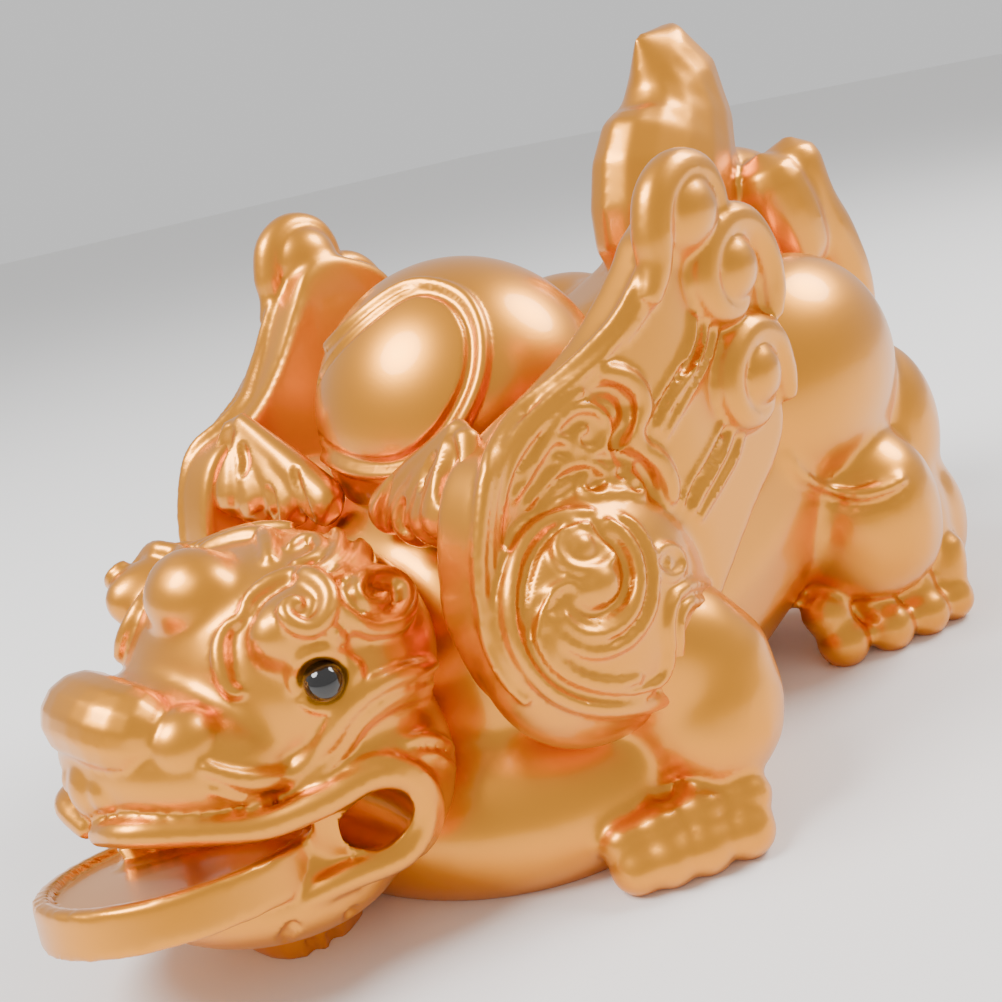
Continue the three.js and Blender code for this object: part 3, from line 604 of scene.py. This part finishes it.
# %% Brow curls
for line, radii, lift in (
        (drawn(246, 694, 231, 687, 224, 667, 223, 645, 232, 627, 248, 621, 262, 629, 263, 645, 252, 654, 241, 649, 243, 639), [0.5, 0.9, 1.1, 1.1, 1.0, 0.8, 0.6], 0.5),
        (drawn(244, 620, 252, 601, 270, 588, 292, 580, 315, 583, 328, 597, 325, 615, 310, 628, 293, 625, 284, 613, 292, 603, 303, 609), [0.6, 1.1, 1.2, 1.2, 1.1, 0.9, 0.6], 0.5),
        (drawn(276, 568, 276, 550, 288, 535, 308, 528, 326, 530, 337, 542, 335, 560, 322, 574, 306, 581), [0.6, 1.0, 1.0, 0.9, 0.6], 0.6),
        (drawn(288, 551, 303, 542, 316, 543, 320, 554, 308, 563, 290, 568), [0.5, 0.8, 0.9, 0.8, 0.6], 0.4),
        (drawn(326, 530, 345, 531, 358, 545, 355, 562, 342, 577, 325, 584), [0.5, 0.8, 0.9, 0.8, 0.5], 0.5),
        (drawn(350, 532, 364, 545, 367, 562, 357, 580), [0.4, 0.7, 0.8, 0.5], 0.3),
        (drawn(328, 592, 336, 608, 352, 622, 372, 629, 392, 625, 404, 610, 403, 592, 390, 580, 372, 577, 357, 584, 354, 597, 365, 606, 380, 604, 383, 594),
         [0.6, 1.0, 1.2, 1.2, 1.1, 0.9, 0.7, 0.6], 0.5),
        (drawn(318, 622, 332, 632, 346, 640), [0.5, 0.9, 0.5], 0.2),
        (drawn(205, 533, 214, 515, 235, 508, 254, 518, 267, 541, 270, 566), [0.7, 1.2, 1.4, 1.3, 1.1, 0.7], 0.0),
        # eyelids
        (drawn(296, 694, 292, 680, 296, 664, 308, 653, 325, 650, 340, 656, 350, 668, 350, 684, 342, 698, 328, 708, 312, 707, 300, 699), [0.5, 0.7, 0.9, 0.8, 0.6, 0.5], 0.1),
        (drawn(346, 660, 354, 672, 352, 686), [0.9, 1.1, 0.8], 0.0),
):
    draw(head, head_mass, line, radii, lift)

# %% [markdown]
# Each ear is a fan of tapered ropes that meet in the tip. The innermost one starts near the middle
# of the neck, which gives the ear its long slope on that side.

# %% Ears
EAR_TIP = (21.6, -20.4, 53.2)
for foot, thick in (((4, -20.5, 41), 3.4), ((10, -21.6, 40), 4.2), ((16, -23.4, 40), 4.6), ((20, -25, 41), 4.4), ((23.6, -25.4, 42), 3.2)):
    head.rope([foot, tuple(0.45 * a + 0.55 * b for a, b in zip(foot, EAR_TIP)), EAR_TIP], [thick, thick * 0.75, 1.3], flat=((0.5, -0.8, 0.3), 0.8), both=True, around=5)

# %% [markdown]
# The coin is a thick disc that tilts out of the mouth, with its face sunk inside a rim. It is
# cast in one with the head, so it melts into the same skin. A small hollow is pressed into each
# side of the jaw, and grooves part the strands of the beard.

# %% Coin
JAW_HOLLOW = (20.6, -36.8, 8.2)
JAW_DROP = (20.2, -38, 8.4)
COIN_PLACE = Matrix.Translation((0.4, -54.2, 12.9)) @ Euler((math.radians(-9), math.radians(-12), 0)).to_matrix().to_4x4()
coin = Clay()
bmesh.ops.create_cone(coin.bm, cap_ends=True, segments=96, radius1=15.8, radius2=15.8, depth=5, matrix=COIN_PLACE)
head.add(coin.melt(0.5, 2))
head_skin = Skin(head.melt(0.4, 3))
local = np.column_stack([head_skin.place, np.ones(len(head_skin.place))]) @ np.array(COIN_PLACE.inverted()).T
away = np.linalg.norm(local[:, :2], axis=1)
on_top = (np.abs(local[:, 2] - 2.5) < 0.7) & (away < 14.2)
head_skin.lift[on_top] -= 0.9 * np.clip((14.2 - away[on_top]) / 0.6, 0, 1)
head_skin.settle()
head_skin.dent(JAW_HOLLOW, 2.8, -2.2)
head_skin.settle()
head_skin.dent(JAW_DROP, 1.5, 1.3)
head_skin.settle()
for line, width, height in (
        (drawn(298, 922, 285, 940, 289, 960, 302, 974), 1.0, -0.8),
        (drawn(318, 914, 309, 935, 318, 956, 334, 970), 1.0, -0.8),
        (drawn(336, 910, 332, 930, 342, 950, 358, 960), 1.0, -0.8),
        (drawn(352, 908, 352, 925, 368, 936, 390, 928, 404, 914), 1.0, -0.8),
        (drawn(404, 497, 399, 512, 400, 528, 412, 535, 424, 526, 426, 513, 416, 506), 0.8, -0.8),
        (drawn(447, 436, 446, 470, 446, 508), 1.6, -1.4),
        (drawn(398, 462, 386, 488, 380, 514, 386, 534, 400, 545, 420, 545, 438, 533), 0.9, -0.8),
        (drawn(240, 442, 245, 460, 241, 478), 0.8, -0.7),
):
    head_skin.push(head_skin.seen(line), width, height)
head_skin.settle()
print("head:", len(head_skin.place), "vertices")

# %% [markdown]
# ## The ball on the back
# A ball lies on the shoulders between the wings. A round medallion faces forwards on it. Its
# raised ring and the groove inside the ring are pushed into a plain sphere, on one side only,
# because the medallion looks to the beast's left. The ring is drawn as the camera sees it, so from
# above it runs off and doesn't close into a circle. The medallion and the ball are left smooth.

# %% Ball
ball = Clay()
ball.lump((0, -0.4, 48.6), (19, 19, 19), sides=160)
ball_skin = Skin(ball.melt(0.36, 1))
for line, width, height in (
        (drawn(300, 400, 303, 430, 325, 458, 365, 474, 410, 470, 450, 440, 478, 385, 482, 335, 466, 298, 432, 283, 398, 288, 352, 322, 318, 360, 300, 400), 1.0, 0.7),
        (drawn(310, 402, 314, 428, 332, 450, 366, 463, 402, 460, 438, 432, 465, 384, 470, 338, 456, 306, 430, 292, 402, 297, 358, 330, 326, 366, 310, 402), 0.8, -0.5),
):
    ball_skin.push(ball_skin.seen(line), width, height, taper=0, both=False)
ball_skin.settle()
print("ball:", len(ball_skin.place), "vertices")

# %% [markdown]
# ## Materials
# Each finish is one even colour here: metallic gold under a clear coat, and polished black. The
# real gold is full of fine flakes and turns darker and redder in the hollows, which isn't made.

# %% Gold flake paint
def plain(name, colour, roughness, metallic, coat=0.0):
    material = bpy.data.materials.new(name)
    material.use_nodes = True
    shader = material.node_tree.nodes["Principled BSDF"]
    shader.inputs["Base Color"].default_value = (*colour, 1)
    shader.inputs["Roughness"].default_value = roughness
    shader.inputs["Metallic"].default_value = metallic
    shader.inputs["Coat Weight"].default_value = coat
    shader.inputs["Coat Roughness"].default_value = 0.08
    return material


gold = plain("gold_flake_paint", (0.8, 0.30, 0.012), 0.34, 0.9, 0.4)
black = plain("black_gloss", (0.008, 0.007, 0.007), 0.08, 0, 0.5)

# %% [markdown]
# ## Finished pieces
# Each skin is cut flat at the ground and closed there, moved to the frame's origin and scaled to
# metres. The four gold pieces together stand for the one casting of the CAD model.

# %% Place the pieces
GROUND = 0.0


def place(name, skin, material, slot, *nodes):
    bm = bmesh.new()
    bm.from_mesh(skin.mesh)
    under = bmesh.ops.bisect_plane(bm, geom=[*bm.verts, *bm.edges, *bm.faces], plane_co=(0, 0, GROUND),
                                   plane_no=(0, 0, -1), clear_outer=True)
    rim = [e for e in under["geom_cut"] if isinstance(e, bmesh.types.BMEdge)]
    if rim:
        bmesh.ops.holes_fill(bm, edges=rim)
    bmesh.ops.transform(bm, matrix=TO_METRES, verts=bm.verts)
    mesh = bpy.data.meshes.new(name)
    bm.to_mesh(mesh)
    bm.free()
    mesh.shade_smooth()
    mesh.materials.append(material)
    piece = bpy.data.objects.new(name, mesh)
    bpy.context.scene.collection.objects.link(piece)
    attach(piece, "root")
    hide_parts(*nodes)
    print(name, sum(len(p.vertices) - 2 for p in mesh.polygons), "triangles")
    return piece


place("beast_body", body_skin, gold, "gold_flake_paint", "resin_casting")
place("beast_head", head_skin, gold, "gold_flake_paint", "resin_casting")
place("beast_wings", wing_skin, gold, "gold_flake_paint", "resin_casting")
place("back_ball", ball_skin, gold, "gold_flake_paint", "resin_casting")

EYE = (17.8, -42.8, 33.6)
for side, name in ((1, "left"), (-1, "right")):
    bead = Clay()
    bead.lump(flip(side, EYE), (2.1, 2.1, 2.1), sides=64)
    mesh = bpy.data.meshes.new("bead")
    bead.bm.to_mesh(mesh)
    bead.bm.free()
    place("glossy_eye_" + name, Skin(mesh), black, "black_gloss", "eye_bead_" + name)

# %% [markdown]
# ## Floor and light
# A pale floor, an even white surrounding and two large round lamps, as for a product picture.

# %% Stage
floor_bm = bmesh.new()
bmesh.ops.create_grid(floor_bm, x_segments=1, y_segments=1, size=3)
floor_mesh = bpy.data.meshes.new("floor")
floor_bm.to_mesh(floor_mesh)
floor_bm.free()
floor = bpy.data.objects.new("floor", floor_mesh)
floor_mesh.materials.append(plain("pale_floor", (0.85, 0.84, 0.83), 0.6, 0))
bpy.context.scene.collection.objects.link(floor)
floor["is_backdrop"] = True

world = bpy.data.worlds.new("studio")
world.use_nodes = True
world.node_tree.nodes["Background"].inputs["Color"].default_value = (1, 1, 1, 1)
world.node_tree.nodes["Background"].inputs["Strength"].default_value = 0.75
bpy.context.scene.world = world


def soft_light(name, place_mm, size, watts):
    data = bpy.data.lights.new(name, "AREA")
    data.shape = "DISK"
    data.size = size
    data.energy = watts
    lamp = bpy.data.objects.new(name, data)
    lamp.location = Vector(place_mm) * 0.001
    lamp.rotation_euler = (Vector((0, 0, 0.04)) - lamp.location).to_track_quat("-Z", "Y").to_euler()
    bpy.context.scene.collection.objects.link(lamp)
    return lamp


soft_light("key", (-100, -350, 500), 0.3, 5)
soft_light("rim", (200, 400, 450), 0.3, 4)

# %% [markdown]
# ## Sizes
# The box of the finished pieces is printed in millimetres.

# %% Sizes
low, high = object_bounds()
print("scene box in mm:", [round(1000 * v, 1) for v in (*low, *high)])
